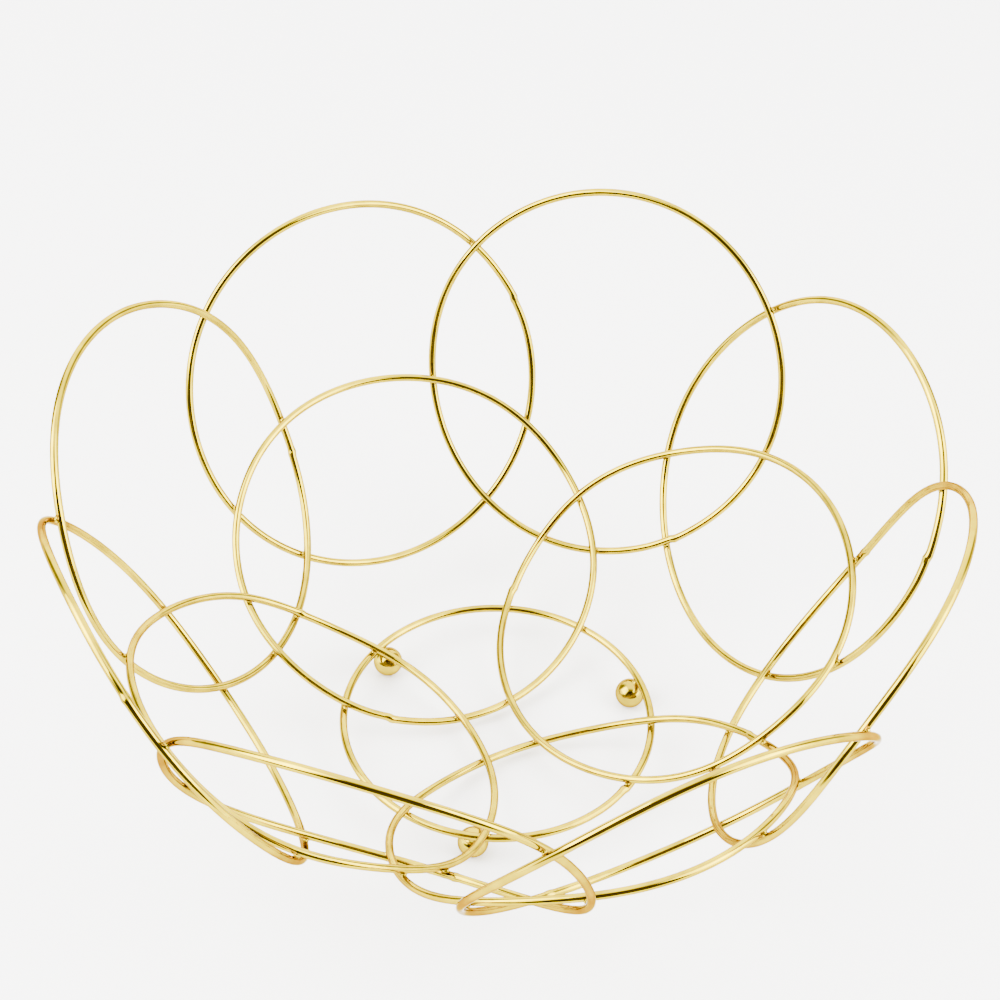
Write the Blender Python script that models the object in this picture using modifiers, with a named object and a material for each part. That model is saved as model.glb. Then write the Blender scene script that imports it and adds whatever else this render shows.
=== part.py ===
"""Fruit rack: an open bowl of interlaced wire rings on three ball feet.

Twelve equal rings lie on one bowl shape, four low ones for the floor and eight
steep ones for the rim. A smaller ring under the floor carries three balls. The
rings pass over and under each other, and are welded where they cross: the bowl is
settled by lifting and slightly bowing the rings until every crossing is one weld
apart. The origin is on the bowl's axis, at the level of the table. Metres, +Z up.
"""
import math

import bpy
import numpy as np

# Wire and welds
WIRE_DIAMETER = 0.0026
WELD_GAP = 0.0003

# Rings: a radius is that of the wire's centreline, a reach is the distance from
# the bowl's axis to a ring's centre, and a lean is how steeply a ring's plane
# climbs outwards, in degrees. The floor rings reach in until a square opening is
# left between them, as wide as the gap from one ring to the ring opposite.
RING_RADIUS = 0.063
FLOOR_RING_LEAN = 29.3
FLOOR_OPENING = 0.0187
RIM_RING_REACH = 0.1076
RIM_RING_LEAN = 61.9
BASE_RING_RADIUS = 0.0514

# Feet
FOOT_DIAMETER = 0.0100
FOOT_FLAT_DIAMETER = 0.0020
FOOT_INSET = 0.0027

# Counts, and the directions of the first ring and foot in degrees from +X
FLOOR_RING_COUNT = 4
RIM_RING_COUNT = 8
FOOT_COUNT = 3
FIRST_RING_ANGLE = 112.5
FIRST_FOOT_ANGLE = 17.5

# How much a ring resists leaning and each order of bowing out of its plane, set
# against a lift that is almost free, and a weld that hardly gives
LIFT_STIFFNESS = 0.001
LEAN_STIFFNESS = 4.0
BOW_STIFFNESS = (1.5, 1.5, 2.0, 3.0, 4.0)
WELD_STIFFNESS = 10000.0
SETTLING_ROUNDS = 8

# Where a ring first rests on the ring below it, as a share of the lower ring's
# radius measured outwards from that ring's centre
FIRST_REST_SHARE = 0.5

# Fineness of the meshes
RING_SIDES = 48
BASE_RING_SIDES = 40
WIRE_BEVEL_RESOLUTION = 2
FOOT_ARC_STEPS = 9
FOOT_TURN_STEPS = 18
CROSSING_STEPS = 120
MERGE_DISTANCE = 0.00001

GOLD_COLOUR = (0.91, 0.67, 0.24, 1.0)
GOLD_ROUGHNESS = 0.14
GOLD_METALLIC = 1.0

UP = np.array([0.0, 0.0, 1.0])


class RingFamily:
    """Equal rings, spaced evenly round the bowl's axis and all bowed alike."""

    def __init__(self, names, first_angle, radius, reach, lean, height):
        self.names = names
        self.radius = radius
        self.reach = reach
        self.lean = math.radians(lean)
        self.height = height
        step = math.tau / len(names)
        first = math.radians(first_angle)
        self.angles = [first + step * index for index in range(len(names))]
        self.bows = np.zeros(len(BOW_STIFFNESS) + 1)

    def axes(self, index):
        """The ring's outward climb, its level sideways and its normal into the bowl."""
        angle = self.angles[index]
        outward = np.array([math.cos(angle), math.sin(angle), 0.0])
        sideways = np.array([-math.sin(angle), math.cos(angle), 0.0])
        climb = math.cos(self.lean) * outward + math.sin(self.lean) * UP
        inward = math.cos(self.lean) * UP - math.sin(self.lean) * outward
        return climb, sideways, inward

    def centre(self, index):
        angle = self.angles[index]
        outward = np.array([math.cos(angle), math.sin(angle), 0.0])
        return self.reach * outward + self.height * UP

    def local_points(self, turns):
        """Centreline points in the ring's own plane, bowed along its normal."""
        orders = np.arange(1, len(self.bows) + 1)
        bow = np.cos(np.outer(turns, orders)) @ self.bows
        return np.stack([self.radius * np.cos(turns), self.radius * np.sin(turns), bow], 1)

    def points(self, index, turns):
        return self.centre(index) + self.local_points(turns) @ np.array(self.axes(index))

    def tangent(self, index, turn):
        orders = np.arange(1, len(self.bows) + 1)
        bow_rate = -np.sin(turn * orders) @ (orders * self.bows)
        local = np.array([-self.radius * math.sin(turn), self.radius * math.cos(turn), bow_rate])
        direction = local @ np.array(self.axes(index))
        return direction / np.linalg.norm(direction)

    def push(self, index, turn, direction):
        """How far one unit of lift and of each bow moves a point along a direction."""
        orders = np.arange(1, len(self.bows) + 1)
        inward = self.axes(index)[2]
        return np.concatenate([[UP @ direction], np.cos(turn * orders) * (inward @ direction)])


def direction_to(points, eye):
    rays = points - eye
    return rays / np.linalg.norm(rays, axis=1)[:, None]


def find_crossings(first, first_index, second, second_index, eye):
    """Turns along both rings at which they cross, as seen from inside the bowl."""
    turns = np.linspace(0.0, math.tau, CROSSING_STEPS + 1)
    first_rays = direction_to(first.points(first_index, turns), eye)
    second_rays = direction_to(second.points(second_index, turns), eye)
    gaze = first_rays.mean(axis=0) + second_rays.mean(axis=0)
    gaze /= np.linalg.norm(gaze)
    if min((first_rays @ gaze).min(), (second_rays @ gaze).min()) <= 0.0:
        return []
    across = np.cross(gaze, first.axes(first_index)[1])
    across /= np.linalg.norm(across)
    plane = np.stack([across, np.cross(gaze, across)], 1)
    first_flat = (first_rays @ plane) / (first_rays @ gaze)[:, None]
    second_flat = (second_rays @ plane) / (second_rays @ gaze)[:, None]

    first_step = np.diff(first_flat, axis=0)[:, None]
    second_step = np.diff(second_flat, axis=0)[None]
    offset = second_flat[None, :-1] - first_flat[:-1, None]
    turning = cross_product(first_step, second_step)
    first_part = cross_product(offset, second_step) / turning
    second_part = cross_product(offset, first_step) / turning
    inside = (first_part >= 0) & (first_part < 1) & (second_part >= 0) & (second_part < 1)
    step = math.tau / CROSSING_STEPS
    return [((i + first_part[i, j]) * step, (j + second_part[i, j]) * step)
            for i, j in zip(*np.nonzero(inside))]


def cross_product(a, b):
    return a[..., 0] * b[..., 1] - a[..., 1] * b[..., 0]


def ring_pairs(families):
    """Every two rings of unlike families that are near enough to cross, the outer first."""
    for place, outer in enumerate(families):
        for inner in families[place + 1:]:
            for i in range(len(outer.names)):
                for j in range(len(inner.names)):
                    apart = np.linalg.norm(outer.centre(i) - inner.centre(j))
                    if apart < outer.radius + inner.radius:
                        yield outer, i, inner, j


def settle(families, eye):
    """Lift and bow the rings, as little as possible, until all crossings are welded.

    The families are given from the outside of the bowl inwards, and the first one
    stays where it is. At a crossing the two centrelines end one pitch apart along
    their common normal. Crossings move as rings move, so this takes some rounds.
    """
    pitch = WIRE_DIAMETER + WELD_GAP
    stiffness = np.array([LIFT_STIFFNESS, LEAN_STIFFNESS, *BOW_STIFFNESS])
    width = len(stiffness)
    moving = families[1:]
    lifts = np.zeros(len(moving))
    for _ in range(SETTLING_ROUNDS):
        rows = []
        gaps = []
        for outer, i, inner, j in ring_pairs(families):
            for outer_turn, inner_turn in find_crossings(outer, i, inner, j, eye):
                outer_point = outer.points(i, np.array([outer_turn]))[0]
                inner_point = inner.points(j, np.array([inner_turn]))[0]
                normal = np.cross(outer.tangent(i, outer_turn), inner.tangent(j, inner_turn))
                normal /= np.linalg.norm(normal)
                if normal @ (outer_point - eye) < 0.0:
                    normal = -normal
                row = np.zeros((len(moving), width))
                if outer in moving:
                    row[moving.index(outer)] += outer.push(i, outer_turn, normal)
                row[moving.index(inner)] -= inner.push(j, inner_turn, normal)
                rows.append(row.ravel())
                gaps.append(pitch - (outer_point - inner_point) @ normal)
        rows = np.array(rows)
        state = np.concatenate([[lift, *family.bows] for lift, family in zip(lifts, moving)])
        springs = np.diag(np.tile(stiffness, len(moving)))
        pulls = np.concatenate([np.zeros(len(state)), WELD_STIFFNESS * (gaps + rows @ state)])
        state = np.linalg.lstsq(np.vstack([springs, WELD_STIFFNESS * rows]), pulls, rcond=None)[0]
        for place, family in enumerate(moving):
            change = state[place * width:(place + 1) * width]
            family.height += change[0] - lifts[place]
            lifts[place] = change[0]
            family.bows = change[1:]


def ring_names(stem, indices):
    return [f"{stem}_{index}" for index in indices]


def lay_out_rings(base_height):
    """The ring families from the outside of the bowl inwards, settled on each other.

    Every second ring of the rim lies inside its two neighbours, and every second
    ring of the floor on top of its own. The whole floor lies inside the rim.
    """
    rest = FIRST_REST_SHARE
    floor_lean = math.radians(FLOOR_RING_LEAN)
    rim_lean = math.radians(RIM_RING_LEAN)
    floor_reach = FLOOR_OPENING / 2 + RING_RADIUS * math.cos(floor_lean)
    floor_rise = (floor_reach - rest * BASE_RING_RADIUS) * math.tan(floor_lean)
    floor_height = base_height + floor_rise
    meeting_reach = floor_reach + rest * RING_RADIUS * math.cos(floor_lean)
    meeting_height = floor_height + rest * RING_RADIUS * math.sin(floor_lean)
    rim_height = meeting_height + (RIM_RING_REACH - meeting_reach) * math.tan(rim_lean)
    eye = (rim_height + RIM_RING_REACH / math.tan(rim_lean)) * UP

    floor_step = 360.0 / FLOOR_RING_COUNT
    rim_step = 360.0 / RIM_RING_COUNT
    base = RingFamily(["base_ring"], FIRST_RING_ANGLE, BASE_RING_RADIUS, 0.0, 0.0, base_height)
    rim_outer = RingFamily(ring_names("rim_ring", range(0, RIM_RING_COUNT, 2)),
                           FIRST_RING_ANGLE, RING_RADIUS, RIM_RING_REACH, RIM_RING_LEAN, rim_height)
    rim_inner = RingFamily(ring_names("rim_ring", range(1, RIM_RING_COUNT, 2)),
                           FIRST_RING_ANGLE + rim_step,
                           RING_RADIUS, RIM_RING_REACH, RIM_RING_LEAN, rim_height)
    floor_under = RingFamily(ring_names("floor_ring", range(0, FLOOR_RING_COUNT, 2)),
                             FIRST_RING_ANGLE,
                             RING_RADIUS, floor_reach, FLOOR_RING_LEAN, floor_height)
    floor_over = RingFamily(ring_names("floor_ring", range(1, FLOOR_RING_COUNT, 2)),
                            FIRST_RING_ANGLE + floor_step,
                            RING_RADIUS, floor_reach, FLOOR_RING_LEAN, floor_height)
    families = [base, rim_outer, rim_inner, floor_under, floor_over]
    settle(families, eye)
    return families


def gold(name):
    material = bpy.data.materials.new(name)
    material.use_nodes = True
    shader = material.node_tree.nodes["Principled BSDF"]
    shader.inputs["Base Color"].default_value = GOLD_COLOUR
    shader.inputs["Roughness"].default_value = GOLD_ROUGHNESS
    shader.inputs["Metallic"].default_value = GOLD_METALLIC
    return material


def add_part(name, data, collection, location, rotation):
    data.materials.append(gold(name))
    part = bpy.data.objects.new(name, data)
    part.location = location
    part.rotation_euler = rotation
    collection.objects.link(part)
    return part


def add_ring(family, index, sides, collection):
    """One closed ring of round wire, with its origin at the ring's centre."""
    name = family.names[index]
    wire = bpy.data.curves.new(name, "CURVE")
    wire.dimensions = "3D"
    wire.bevel_depth = WIRE_DIAMETER / 2
    wire.bevel_resolution = WIRE_BEVEL_RESOLUTION
    wire.use_fill_caps = True
    turns = np.arange(sides) * math.tau / sides
    centreline = family.local_points(turns)
    spline = wire.splines.new("POLY")
    spline.points.add(sides - 1)
    for point, place in zip(spline.points, centreline):
        point.co = (*place, 1.0)
    spline.use_cyclic_u = True
    rotation = (0.0, -family.lean, family.angles[index])
    return add_part(name, wire, collection, family.centre(index), rotation)


def foot_profile():
    """Half outline of a ball, from the top round to the flat that it stands on."""
    radius = FOOT_DIAMETER / 2
    flat = FOOT_FLAT_DIAMETER / 2
    flat_angle = -math.acos(flat / radius)
    outline = []
    for step in range(FOOT_ARC_STEPS + 1):
        angle = math.pi / 2 + (flat_angle - math.pi / 2) * step / FOOT_ARC_STEPS
        outline.append((radius * math.cos(angle), 0.0, radius * math.sin(angle)))
    outline[0] = (0.0, 0.0, radius)
    outline.append((0.0, 0.0, outline[-1][2]))
    return outline


def add_foot(index, height, collection):
    """A ball turned about its upright axis, under and a little inside the base ring."""
    name = f"foot_ball_{index}"
    outline = foot_profile()
    ball = bpy.data.meshes.new(name)
    ball.from_pydata(outline, [(i, i + 1) for i in range(len(outline) - 1)], [])
    angle = math.radians(FIRST_FOOT_ANGLE) + math.tau * index / FOOT_COUNT
    reach = BASE_RING_RADIUS - FOOT_INSET
    location = (reach * math.cos(angle), reach * math.sin(angle), height)
    foot = add_part(name, ball, collection, location, (0.0, 0.0, angle))
    turning = foot.modifiers.new("turning", "SCREW")
    turning.axis = "Z"
    turning.steps = FOOT_TURN_STEPS
    turning.render_steps = FOOT_TURN_STEPS
    turning.use_merge_vertices = True
    turning.merge_threshold = MERGE_DISTANCE
    turning.use_smooth_shade = True
    return foot


def clear_scene():
    for leftover in list(bpy.data.objects):
        bpy.data.objects.remove(leftover, do_unlink=True)


def build_fruit_rack():
    clear_scene()
    collection = bpy.data.collections.new("fruit_rack")
    bpy.context.scene.collection.children.link(collection)

    foot_radius = FOOT_DIAMETER / 2
    foot_height = math.sqrt(foot_radius ** 2 - (FOOT_FLAT_DIAMETER / 2) ** 2)
    seat_distance = foot_radius + WELD_GAP + WIRE_DIAMETER / 2
    base_height = foot_height + math.sqrt(seat_distance ** 2 - FOOT_INSET ** 2)

    for family in lay_out_rings(base_height):
        sides = BASE_RING_SIDES if family.names == ["base_ring"] else RING_SIDES
        for index in range(len(family.names)):
            add_ring(family, index, sides, collection)
    for index in range(FOOT_COUNT):
        add_foot(index, foot_height, collection)


build_fruit_rack()
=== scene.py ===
"""Looks of the fruit rack: smooth polished wire, welds and ball feet in a white light tent.

Every ring is rebuilt as smooth round wire on the centreline of its CAD node, with the
seam where its ends were welded. A small weld is laid in the gap at every crossing and
on every ball.
"""

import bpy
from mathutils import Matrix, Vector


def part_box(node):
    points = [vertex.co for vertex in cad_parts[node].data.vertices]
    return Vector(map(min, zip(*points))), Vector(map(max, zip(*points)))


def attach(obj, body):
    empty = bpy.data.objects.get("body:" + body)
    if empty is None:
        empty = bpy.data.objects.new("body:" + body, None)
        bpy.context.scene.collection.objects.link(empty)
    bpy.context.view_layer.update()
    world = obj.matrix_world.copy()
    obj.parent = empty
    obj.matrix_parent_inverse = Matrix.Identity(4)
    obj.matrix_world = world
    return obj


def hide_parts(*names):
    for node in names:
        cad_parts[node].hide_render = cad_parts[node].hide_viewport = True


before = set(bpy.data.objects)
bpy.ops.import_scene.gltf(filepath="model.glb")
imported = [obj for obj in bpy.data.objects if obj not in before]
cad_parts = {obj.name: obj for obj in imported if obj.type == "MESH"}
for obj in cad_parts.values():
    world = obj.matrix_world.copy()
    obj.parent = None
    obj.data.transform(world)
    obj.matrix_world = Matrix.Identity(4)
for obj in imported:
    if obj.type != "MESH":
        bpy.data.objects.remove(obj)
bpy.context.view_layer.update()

import math

import bpy
import numpy as np
from mathutils import Matrix, Vector

# The CAD wire's radius and the corners of each cross-section of its mesh
WIRE_RADIUS = 0.0013
WIRE_CORNERS = 8
BALL_RADIUS = 0.005

# Round wire reaches a little further out than the CAD's eight-sided wire. The rings
# are drawn this much smaller about the origin, so that they stay in the CAD's box.
INSIDE_BOX = 0.9996

# Fineness of the smooth wire and of the balls
SMOOTH_ORDERS = 9
RING_STEPS = 480
WIRE_SIDES = 20
BALL_ROWS = 40
BALL_TURN_STEPS = 64

# Where the ends of each ring were welded together, in degrees round the ring from its
# outermost point (from +X on the base ring)
SEAM_ANGLES = {
    "base_ring": 320.0,
    "floor_ring_0": 150.0, "floor_ring_1": 250.0, "floor_ring_2": 98.5, "floor_ring_3": 130.0,
    "rim_ring_0": 285.0, "rim_ring_1": 245.0, "rim_ring_2": 37.0, "rim_ring_3": 168.5,
    "rim_ring_4": 200.0, "rim_ring_5": 100.0, "rim_ring_6": 287.5, "rim_ring_7": 215.0,
}
# A seam has a bead, higher on one side, and a small sideways step that fades out
SEAM_HEIGHT = 0.00030
SEAM_LENGTH = 0.0010
SEAM_LOPSIDED = 0.3
SEAM_STEP = 0.00020
SEAM_STEP_LENGTH = 0.0005
SEAM_STEP_FADE = 0.006

# A weld: how far it runs along and across each wire and round on a ball, how wide it
# is at its waist against its ends, and how deep its ends sink into the metal
WELD_ALONG = 0.00140
WELD_ACROSS = 0.00098
WELD_ON_BALL = 0.0016
WELD_WAIST = 0.80
WELD_SINK = 0.00004
WELD_TURN_STEPS = 32
WELD_RISE_STEPS = 8
# Any direction that no weld's axis has: it fixes where a weld's points start
WELD_START = (0.31, 0.52, 0.79)

# Centrelines nearer than this cross, and the gold is darker and rougher this near a crossing
CONTACT_DISTANCE = 0.0036
WELD_NEAR = 0.0016

# Gold plating: the clouds' two colours, the colour next to welds and the tint of what
# is seen at a grazing angle
GOLD_DEEP = (0.325, 0.241, 0.001, 1.0)
GOLD_BRIGHT = (0.46, 0.347, 0.002, 1.0)
GOLD_AT_WELDS = (0.28, 0.20, 0.0, 1.0)
GOLD_GRAZING = (0.42, 0.29, 0.0, 1.0)
ROUGHER_AT_WELDS = 0.12
# Scales of the noises per metre, and the part of a noise's range that is used
CLOUD_SCALE = 110.0
CLOUD_RANGE = (0.36, 0.64)
WEAR_SCALE = 300.0
WEAR_RANGE = (0.35, 0.70)
WAVE_SCALE = 90.0
DRAW_MARK_SCALES = (3600.0, 3600.0, 70.0)

# The floor reaches this far to the back and sides, and to here in front
FLOOR_REACH = 1.0
FLOOR_FRONT = -0.4
FLOOR_COLOUR = (0.93, 0.93, 0.93, 1.0)
FLOOR_ROUGHNESS = 0.9

# Patches of the light tent: the bearing of the middle from -Y towards +X, its height
# above the horizon, the half width, the half height, the softness of the edge and how
# much light the patch takes away. The openings and gaps are dark. The panels, with a
# share below zero, are brighter than the tent.
TENT_PATCHES = {
    "opening": (0.0, 16.0, 51.0, 47.0, 0.16, 0.979),
    "opening_side": (-48.0, 4.0, 27.0, 15.0, 0.4, 0.935),
    "opening_top": (-4.0, 59.0, 37.0, 20.0, 0.5, 0.87),
    "left_gap": (-125.0, 15.0, 18.0, 38.0, 0.5, 0.92),
    "right_gap": (118.0, 22.0, 15.0, 28.0, 0.5, 0.86),
    "left_panel": (-76.0, 40.0, 30.0, 26.0, 0.3, -0.8),
    "right_panel": (58.0, 36.0, 24.0, 26.0, 0.3, -0.7),
}
TENT_STRENGTH = 9.8
TENT_WALL = (1.0, 1.0, 1.0, 1.0)
TENT_TOP = (0.75, 0.74, 0.72, 1.0)
TENT_TOP_HEIGHT = 0.9
# The room beyond the openings has a faint warm light
ROOM_GLOW = (0.0050, 0.0004, 0.0)
# What the camera itself sees behind the floor, in the floor's tone
BACKDROP_COLOUR = (1.0, 1.0, 1.0, 1.0)
BACKDROP_STRENGTH = 7.58

# Softboxes: bearing, height, distance, edge length and power
SOFTBOXES = {
    "left_softbox": (-78.0, 45.0, 1.3, 1.1, 40.0),
    "right_softbox": (64.0, 36.0, 1.3, 1.0, 30.0),
}
LAMP_TARGET_HEIGHT = 0.05

# The photo's viewpoint, worked out from the rings
CAMERA_AZIMUTH = -4.584
CAMERA_ELEVATION = 42.08
CAMERA_ROLL = 1.671
CAMERA_DISTANCE = 0.646733
CAMERA_SIDE_STEP = -0.001265
CAMERA_TARGET_HEIGHT = 0.108709
CAMERA_LENS = 76.693
CAMERA_SENSOR = 36.0
CAMERA_CLIP_START = 0.01


def node_mesh_points(name):
    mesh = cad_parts[name].data
    return np.array([vertex.co[:] for vertex in mesh.vertices])


def ring_centreline(name):
    """Evenly spaced smooth points along the middle of a ring node's wire, and its normal.

    The node's points are put in order round the ring. Each cross-section's mean is a
    point of the centreline, and the lowest orders of their Fourier series smooth it.
    """
    corners = np.unique(np.round(node_mesh_points(name), 7), axis=0)
    centre = corners.mean(axis=0)
    outward = np.array([centre[0], centre[1], 0.0])
    if np.linalg.norm(outward) < WIRE_RADIUS:
        outward = np.array([1.0, 0.0, 0.0])
    normal = np.linalg.svd(corners - centre, full_matrices=False)[2][2]
    if normal[2] < 0.0:
        normal = -normal
    start = outward - (outward @ normal) * normal
    start /= np.linalg.norm(start)
    side = np.cross(normal, start)
    turns = np.arctan2((corners - centre) @ side, (corners - centre) @ start)
    order = np.argsort(turns)
    turns = turns[order]
    corners = corners[order]
    gaps = np.diff(np.append(turns, turns[0] + math.tau))
    first = (int(np.argmax(gaps)) + 1) % len(turns)
    sections = np.roll(corners, -first, axis=0).reshape(-1, WIRE_CORNERS, 3).mean(axis=1)
    offset = math.atan2((sections[0] - centre) @ side, (sections[0] - centre) @ start)
    count = len(sections)
    waves = np.fft.fft(sections, axis=0) / count
    steps = (np.arange(RING_STEPS) * math.tau / RING_STEPS) - offset
    points = np.zeros((RING_STEPS, 3), complex)
    for wave in range(-SMOOTH_ORDERS, SMOOTH_ORDERS + 1):
        points += waves[wave % count][None] * np.exp(1j * wave * steps)[:, None]
    return points.real * INSIDE_BOX, normal


def skin(grid, closed):
    """Points and faces over rows of points; the rows close on themselves or get two caps."""
    rows, columns = grid.shape[:2]
    points = grid.reshape(-1, 3)
    faces = []
    for row in range(rows if closed else rows - 1):
        below = (row + 1) % rows
        for column in range(columns):
            beside = (column + 1) % columns
            faces.append((row * columns + column, below * columns + column,
                          below * columns + beside, row * columns + beside))
    if not closed:
        points = np.concatenate([points, [grid[0].mean(axis=0), grid[-1].mean(axis=0)]])
        last = (rows - 1) * columns
        for column in range(columns):
            beside = (column + 1) % columns
            faces.append((len(points) - 2, column, beside))
            faces.append((len(points) - 1, last + beside, last + column))
    return points, faces


def make_object(name, points, faces, material, attributes=()):
    mesh = bpy.data.meshes.new(name)
    mesh.from_pydata([tuple(point) for point in points], [], faces)
    mesh.polygons.foreach_set("use_smooth", [True] * len(mesh.polygons))
    for key, values in attributes:
        kind = "FLOAT" if values.ndim == 1 else "FLOAT_VECTOR"
        layer = mesh.attributes.new(key, kind, "POINT")
        layer.data.foreach_set("value" if values.ndim == 1 else "vector", values.ravel())
    mesh.materials.append(material)
    mesh.update()
    piece = bpy.data.objects.new(name, mesh)
    bpy.context.scene.collection.objects.link(piece)
    return piece


def wire_grid(points, normal, seam_turn):
    """Round wire about a closed centreline, a little thicker where its ends are welded.

    Also gives each point's place round and along the wire, in metres.
    """
    ahead = np.roll(points, -1, axis=0) - np.roll(points, 1, axis=0)
    ahead /= np.linalg.norm(ahead, axis=1)[:, None]
    across = np.cross(normal[None], ahead)
    across /= np.linalg.norm(across, axis=1)[:, None]
    upward = np.cross(across, ahead)
    step_lengths = np.linalg.norm(np.roll(points, -1, axis=0) - points, axis=1)
    length = step_lengths.sum()
    place = np.concatenate([[0.0], np.cumsum(step_lengths)[:-1]])
    seam_place = seam_turn / 360.0 * length
    past = (place - seam_place + length / 2) % length - length / 2
    bead = SEAM_HEIGHT * np.exp(-(past / SEAM_LENGTH) ** 2)
    slip = SEAM_STEP * np.tanh(past / SEAM_STEP_LENGTH) * np.exp(-(past / SEAM_STEP_FADE) ** 2)
    points = points - slip[:, None] * across
    angles = np.arange(WIRE_SIDES) * math.tau / WIRE_SIDES
    lopsided = 1 - SEAM_LOPSIDED + SEAM_LOPSIDED * np.cos(angles - math.radians(seam_turn))
    radius = (WIRE_RADIUS + bead[:, None] * lopsided[None])[:, :, None]
    grid = points[:, None] + radius * (np.cos(angles)[None, :, None] * across[:, None]
                                       + np.sin(angles)[None, :, None] * upward[:, None])
    flat = np.stack([np.broadcast_to(WIRE_RADIUS * np.cos(angles), grid.shape[:2]),
                     np.broadcast_to(WIRE_RADIUS * np.sin(angles), grid.shape[:2]),
                     np.broadcast_to(place[:, None], grid.shape[:2])], 2)
    flat = np.ascontiguousarray(flat).reshape(-1, 3)
    return grid, flat


def ball_grid(centre, bottom):
    """Rows of a ball's surface from below its top down to the flat at its bottom."""
    lowest = math.asin((bottom - centre[2]) / BALL_RADIUS)
    turns = np.arange(BALL_TURN_STEPS) * math.tau / BALL_TURN_STEPS
    rows = []
    for angle in np.linspace(math.pi / 2, lowest, BALL_ROWS + 1)[1:]:
        reach = BALL_RADIUS * math.cos(angle)
        height = np.full(BALL_TURN_STEPS, BALL_RADIUS * math.sin(angle))
        rows.append(centre + np.stack([reach * np.cos(turns), reach * np.sin(turns), height], 1))
    return np.array(rows)


def find_contacts(rings):
    """Every place where two rings' centrelines pass one wire apart."""
    names = list(rings)
    found = []
    for i, first in enumerate(names):
        for second in names[i + 1:]:
            a = rings[first]
            b = rings[second]
            apart = np.linalg.norm(a[:, None] - b[None], axis=2)
            near = apart.min(axis=1)
            for k in range(len(a)):
                nearest_here = near[k] <= near[k - 1] and near[k] < near[(k + 1) % len(a)]
                if nearest_here and near[k] < CONTACT_DISTANCE:
                    found.append((first, k, second, int(apart[k].argmin())))
    return found


def refine(a, k, b, m):
    """Exact closest points of two straight runs of wire, and their directions.

    The runs pass through a[k] and b[m]. The closest points lie s and t along them.
    """
    ta = a[(k + 1) % len(a)] - a[k - 1]
    tb = b[(m + 1) % len(b)] - b[m - 1]
    ta /= np.linalg.norm(ta)
    tb /= np.linalg.norm(tb)
    w = a[k] - b[m]
    c = ta @ tb
    s = (c * (tb @ w) - ta @ w) / (1 - c * c)
    t = (tb @ w - c * (ta @ w)) / (1 - c * c)
    return a[k] + s * ta, ta, b[m] + t * tb, tb


def weld_grid(low, low_form, high, high_form, normal):
    """A weld's skin from one surface to the other, drawn in at its waist.

    Each form gives, for directions round the normal, how far out the weld reaches on
    that surface and how far the surface stands there from its wire's or ball's middle.
    """
    middle = (low + high) / 2
    x = np.cross(normal, WELD_START)
    x /= np.linalg.norm(x)
    y = np.cross(x, normal)
    turns = np.arange(WELD_TURN_STEPS) * math.tau / WELD_TURN_STEPS
    out = np.cos(turns)[:, None] * x + np.sin(turns)[:, None] * y
    half = np.linalg.norm(high - low) / 2
    low_reach, low_stand = low_form(out)
    high_reach, high_stand = high_form(out)
    low_points = low_reach[:, None] * out + (-half + low_stand - WELD_SINK)[:, None] * normal
    high_points = high_reach[:, None] * out + (half - high_stand + WELD_SINK)[:, None] * normal
    rows = []
    for step in range(WELD_RISE_STEPS + 1):
        share = step / WELD_RISE_STEPS
        row = low_points * (1 - share) + high_points * share
        waist = 1 - (1 - WELD_WAIST) * math.sin(math.pi * share)
        flat = row - (row @ normal)[:, None] * normal
        rows.append(middle + row + (waist - 1) * flat)
    return np.array(rows)


def wire_form(tangent):
    def form(out):
        along = out @ tangent
        across = np.sqrt(np.maximum(0.0, 1 - along ** 2))
        reach = 1 / np.sqrt((along / WELD_ALONG) ** 2 + (across / WELD_ACROSS) ** 2)
        return reach, np.sqrt(WIRE_RADIUS ** 2 - (reach * across) ** 2)
    return form


def ball_form(out):
    reach = np.full(len(out), WELD_ON_BALL)
    return reach, np.sqrt(BALL_RADIUS ** 2 - reach ** 2)


def new_material(name):
    material = bpy.data.materials.new(name)
    material.use_nodes = True
    nodes = material.node_tree.nodes
    nodes.clear()
    return material, nodes, material.node_tree.links


def add_noise(nodes, links, where, scale, detail):
    noise = nodes.new("ShaderNodeTexNoise")
    noise.inputs["Scale"].default_value = scale
    noise.inputs["Detail"].default_value = detail
    links.new(where, noise.inputs["Vector"])
    return noise.outputs["Fac"]


def add_bump(nodes, links, height, distance):
    bump = nodes.new("ShaderNodeBump")
    bump.inputs["Distance"].default_value = distance
    links.new(height, bump.inputs["Height"])
    return bump


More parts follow.
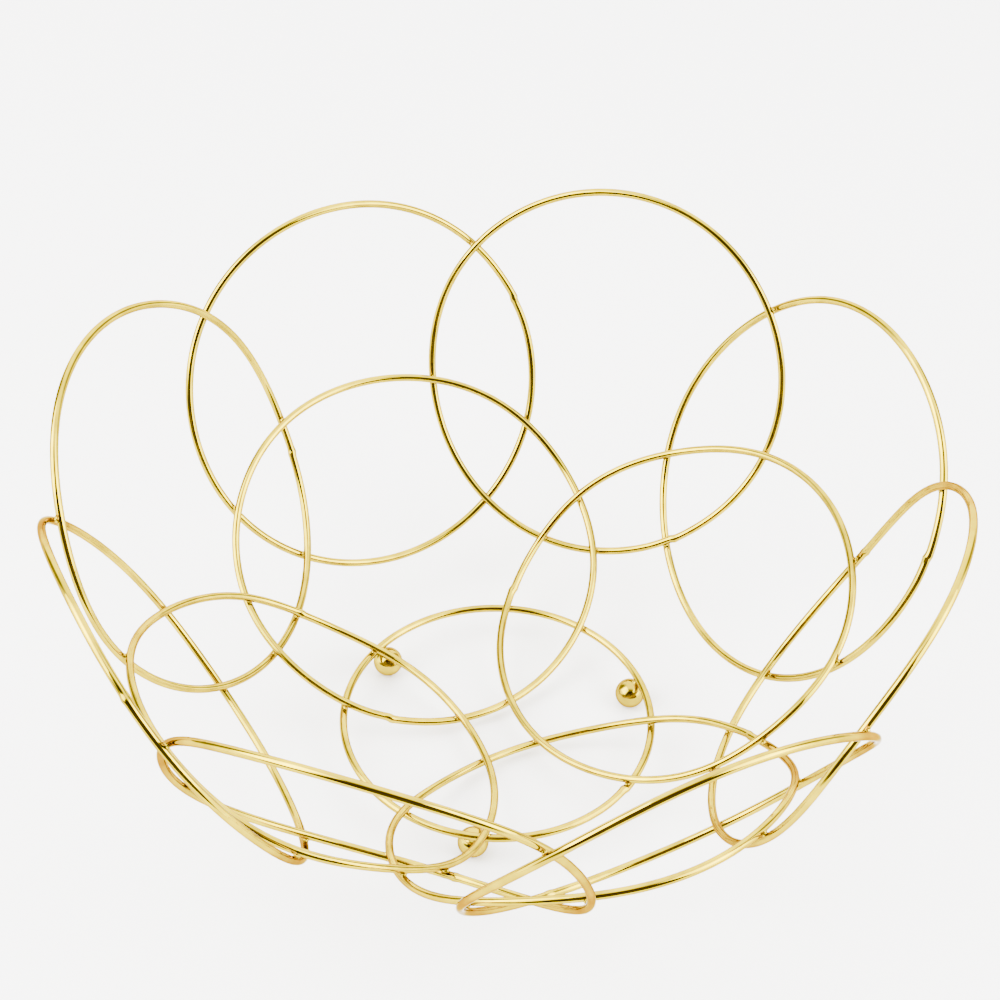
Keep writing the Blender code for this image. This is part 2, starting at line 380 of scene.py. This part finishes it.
def gold_material(name, roughness, lumps, draw_marks=None):
    """Bright gold plating: faint clouds, uneven gloss, low waves, and draw marks on wire.

    A wire's points carry their place round and along the wire, in metres, which the draw marks
    follow, and how near a weld they are, where the gold is darker and rougher.
    """
    material, nodes, links = new_material(name)
    out = nodes.new("ShaderNodeOutputMaterial")
    shader = nodes.new("ShaderNodeBsdfPrincipled")
    links.new(shader.outputs[0], out.inputs[0])
    shader.inputs["Metallic"].default_value = 1.0
    shader.inputs["Specular Tint"].default_value = GOLD_GRAZING
    where = nodes.new("ShaderNodeTexCoord").outputs["Object"]
    near = nodes.new("ShaderNodeAttribute")
    near.attribute_name = "weld_near"

    tint = nodes.new("ShaderNodeValToRGB")
    for stop, position, colour in zip(tint.color_ramp.elements, CLOUD_RANGE,
                                      (GOLD_DEEP, GOLD_BRIGHT)):
        stop.position = position
        stop.color = colour
    links.new(add_noise(nodes, links, where, CLOUD_SCALE, 4.0), tint.inputs["Fac"])
    # The base colour is mixed towards a darker gold near the crossings
    darker_near_welds = nodes.new("ShaderNodeMix")
    darker_near_welds.data_type = "RGBA"
    darker_near_welds.inputs["B"].default_value = GOLD_AT_WELDS
    links.new(tint.outputs["Color"], darker_near_welds.inputs["A"])
    links.new(near.outputs["Fac"], darker_near_welds.inputs["Factor"])
    links.new(darker_near_welds.outputs["Result"], shader.inputs["Base Color"])

    gloss = nodes.new("ShaderNodeMapRange")
    gloss.inputs["From Min"].default_value = WEAR_RANGE[0]
    gloss.inputs["From Max"].default_value = WEAR_RANGE[1]
    gloss.inputs["To Min"].default_value = roughness[0]
    gloss.inputs["To Max"].default_value = roughness[1]
    links.new(add_noise(nodes, links, where, WEAR_SCALE, 5.0), gloss.inputs["Value"])
    rougher = nodes.new("ShaderNodeMath")
    rougher.operation = "MULTIPLY_ADD"
    rougher.inputs[1].default_value = ROUGHER_AT_WELDS
    links.new(near.outputs["Fac"], rougher.inputs[0])
    links.new(gloss.outputs["Result"], rougher.inputs[2])
    links.new(rougher.outputs["Value"], shader.inputs["Roughness"])

    waves = add_bump(nodes, links, add_noise(nodes, links, where, WAVE_SCALE, 2.0), lumps)
    normal = waves.outputs["Normal"]
    if draw_marks:
        place = nodes.new("ShaderNodeAttribute")
        place.attribute_name = "wire_place"
        stretch = nodes.new("ShaderNodeMapping")
        stretch.inputs["Scale"].default_value = DRAW_MARK_SCALES
        links.new(place.outputs["Vector"], stretch.inputs["Vector"])
        mark = add_noise(nodes, links, stretch.outputs["Vector"], 1.0, 3.0)
        marks = add_bump(nodes, links, mark, draw_marks)
        links.new(normal, marks.inputs["Normal"])
        normal = marks.outputs["Normal"]
    links.new(normal, shader.inputs["Normal"])
    return material


def bearing_direction(bearing, height):
    bearing = math.radians(bearing)
    height = math.radians(height)
    return Vector((math.sin(bearing) * math.cos(height), -math.cos(bearing) * math.cos(height),
                   math.sin(height)))


wire_gold = gold_material("gold_plated_wire", (0.02, 0.09), 0.00006, draw_marks=0.000005)
ball_gold = gold_material("gold_plated_ball", (0.02, 0.08), 0.00004)
weld_gold = gold_material("gold_plated_weld", (0.10, 0.22), 0.00012)

# Rings
ring_names = [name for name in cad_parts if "ring" in name]
ring_normals = {}
centrelines = {}
for name in ring_names:
    centrelines[name], ring_normals[name] = ring_centreline(name)
contacts = [refine(centrelines[first], k, centrelines[second], m)
            for first, k, second, m in find_contacts(centrelines)]
contact_places = np.array([(a + b) / 2 for a, _, b, _ in contacts])
for name in ring_names:
    grid, flat = wire_grid(centrelines[name], ring_normals[name], SEAM_ANGLES[name])
    points, faces = skin(grid, True)
    apart = np.linalg.norm(points[:, None] - contact_places[None], axis=2).min(axis=1)
    near = np.exp(-(apart / WELD_NEAR) ** 2)
    piece = make_object(f"{name}_wire", points, faces, wire_gold,
                        (("wire_place", flat), ("weld_near", near)))
    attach(piece, "root")
    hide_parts(name)

# Balls
ball_centres = []
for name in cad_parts:
    if "ball" not in name:
        continue
    low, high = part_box(name)
    centre = np.array([(low[0] + high[0]) / 2, (low[1] + high[1]) / 2, high[2] - BALL_RADIUS])
    ball_centres.append(centre)
    points, faces = skin(ball_grid(centre, low[2]), False)
    piece = make_object(f"{name}_polished", points, faces, ball_gold)
    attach(piece, "root")
    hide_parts(name)

# Welds at the crossings and between the base ring and the balls, in one piece
weld_grids = []
for a, ta, b, tb in contacts:
    normal = b - a
    normal /= np.linalg.norm(normal)
    weld_grids.append(weld_grid(a, wire_form(ta), b, wire_form(tb), normal))
base = centrelines["base_ring"]
for centre in ball_centres:
    k = int(np.linalg.norm(base - centre, axis=1).argmin())
    point = base[k]
    tangent = base[(k + 1) % len(base)] - base[k - 1]
    tangent /= np.linalg.norm(tangent)
    normal = point - centre
    normal -= (normal @ tangent) * tangent
    normal /= np.linalg.norm(normal)
    far_end = centre + normal * np.linalg.norm(point - centre)
    weld_grids.append(weld_grid(centre, ball_form, far_end, wire_form(tangent), normal))
weld_points = []
weld_faces = []
count = 0
for grid in weld_grids:
    points, faces = skin(grid, False)
    weld_points.append(points)
    weld_faces += [tuple(corner + count for corner in face) for face in faces]
    count += len(points)
piece = make_object("welds", np.concatenate(weld_points), weld_faces, weld_gold)
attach(piece, "root")

# Floor
floor_corners = [(-FLOOR_REACH, FLOOR_FRONT, 0), (FLOOR_REACH, FLOOR_FRONT, 0),
                 (FLOOR_REACH, FLOOR_REACH, 0), (-FLOOR_REACH, FLOOR_REACH, 0)]
floor_mesh = bpy.data.meshes.new("floor")
floor_mesh.from_pydata(floor_corners, [], [(0, 1, 2, 3)])
floor = bpy.data.objects.new("floor", floor_mesh)
bpy.context.scene.collection.objects.link(floor)
floor_material, nodes, links = new_material("floor_paper")
out = nodes.new("ShaderNodeOutputMaterial")
shader = nodes.new("ShaderNodeBsdfPrincipled")
shader.inputs["Base Color"].default_value = FLOOR_COLOUR
shader.inputs["Roughness"].default_value = FLOOR_ROUGHNESS
links.new(shader.outputs[0], out.inputs[0])
floor_mesh.materials.append(floor_material)

# World: the metal reflects a white light tent with dark openings towards the camera,
# and the camera itself sees a plain pale backdrop
world = bpy.data.worlds.new("tent")
bpy.context.scene.world = world
world.use_nodes = True
nodes = world.node_tree.nodes
links = world.node_tree.links
nodes.clear()
out = nodes.new("ShaderNodeOutputWorld")
tent = nodes.new("ShaderNodeBackground")
tent.inputs["Strength"].default_value = TENT_STRENGTH
backdrop = nodes.new("ShaderNodeBackground")
backdrop.inputs["Color"].default_value = BACKDROP_COLOUR
backdrop.inputs["Strength"].default_value = BACKDROP_STRENGTH
seen = nodes.new("ShaderNodeLightPath")
either = nodes.new("ShaderNodeMixShader")
links.new(seen.outputs["Is Camera Ray"], either.inputs["Fac"])
links.new(tent.outputs[0], either.inputs[1])
links.new(backdrop.outputs[0], either.inputs[2])
links.new(either.outputs[0], out.inputs[0])
where = nodes.new("ShaderNodeTexCoord").outputs["Generated"]
height = nodes.new("ShaderNodeSeparateXYZ")
links.new(where, height.inputs[0])
fade = nodes.new("ShaderNodeValToRGB")
fade.color_ramp.elements[0].position = 0.0
fade.color_ramp.elements[0].color = TENT_WALL
fade.color_ramp.elements[1].position = TENT_TOP_HEIGHT
fade.color_ramp.elements[1].color = TENT_TOP
links.new(height.outputs["Z"], fade.inputs["Fac"])
light = fade.outputs["Color"]
for patch, (bearing, rise, half_width, half_height, soft, depth) in TENT_PATCHES.items():
    middle = bearing_direction(bearing, rise)
    frame_of_patch = nodes.new("ShaderNodeMapping")
    frame_of_patch.label = patch
    frame_of_patch.vector_type = "TEXTURE"
    frame_of_patch.inputs["Location"].default_value = middle
    frame_of_patch.inputs["Rotation"].default_value = middle.to_track_quat("Z", "Y").to_euler()
    frame_of_patch.inputs["Scale"].default_value = (math.sin(math.radians(half_width)),
                                                    math.sin(math.radians(half_height)), 1.0)
    links.new(where, frame_of_patch.inputs["Vector"])
    away = nodes.new("ShaderNodeVectorMath")
    away.operation = "LENGTH"
    links.new(frame_of_patch.outputs["Vector"], away.inputs[0])
    edge = nodes.new("ShaderNodeMapRange")
    edge.interpolation_type = "SMOOTHSTEP"
    edge.inputs["From Min"].default_value = 1 - soft
    edge.inputs["From Max"].default_value = 1 + soft
    edge.inputs["To Min"].default_value = 1 - depth
    edge.inputs["To Max"].default_value = 1.0
    links.new(away.outputs["Value"], edge.inputs["Value"])
    dim = nodes.new("ShaderNodeVectorMath")
    dim.operation = "SCALE"
    links.new(light, dim.inputs[0])
    links.new(edge.outputs["Result"], dim.inputs["Scale"])
    light = dim.outputs["Vector"]
glow = nodes.new("ShaderNodeVectorMath")
glow.operation = "ADD"
glow.inputs[1].default_value = ROOM_GLOW
links.new(light, glow.inputs[0])
links.new(glow.outputs["Vector"], tent.inputs["Color"])

# Camera at the photo's viewpoint
azimuth = math.radians(CAMERA_AZIMUTH)
elevation = math.radians(CAMERA_ELEVATION)
roll = math.radians(CAMERA_ROLL)
right = Vector((math.cos(azimuth), math.sin(azimuth), 0.0))
back = Vector((math.sin(azimuth) * math.cos(elevation), -math.cos(azimuth) * math.cos(elevation),
               math.sin(elevation)))
up = back.cross(right)
target = CAMERA_SIDE_STEP * right + Vector((0.0, 0.0, CAMERA_TARGET_HEIGHT))
eye = target + CAMERA_DISTANCE * back
right_rolled = right * math.cos(roll) + up * math.sin(roll)
up_rolled = -right * math.sin(roll) + up * math.cos(roll)
camera_data = bpy.data.cameras.new("camera")
camera_data.sensor_width = CAMERA_SENSOR
camera_data.lens = CAMERA_LENS
camera_data.clip_start = CAMERA_CLIP_START
camera = bpy.data.objects.new("camera", camera_data)
bpy.context.scene.collection.objects.link(camera)
camera.matrix_world = Matrix((
    (right_rolled.x, up_rolled.x, back.x, eye.x),
    (right_rolled.y, up_rolled.y, back.y, eye.y),
    (right_rolled.z, up_rolled.z, back.z, eye.z),
    (0.0, 0.0, 0.0, 1.0)))
bpy.context.scene.camera = camera

# Softboxes
for lamp_name, (bearing, rise, distance, size, power) in SOFTBOXES.items():
    lamp_data = bpy.data.lights.new(lamp_name, "AREA")
    lamp_data.shape = "SQUARE"
    lamp_data.size = size
    lamp_data.energy = power
    lamp = bpy.data.objects.new(lamp_name, lamp_data)
    bpy.context.scene.collection.objects.link(lamp)
    toward = bearing_direction(bearing, rise)
    lamp.location = distance * toward + Vector((0.0, 0.0, LAMP_TARGET_HEIGHT))
    lamp.rotation_euler = (-toward).to_track_quat("-Z", "Y").to_euler()
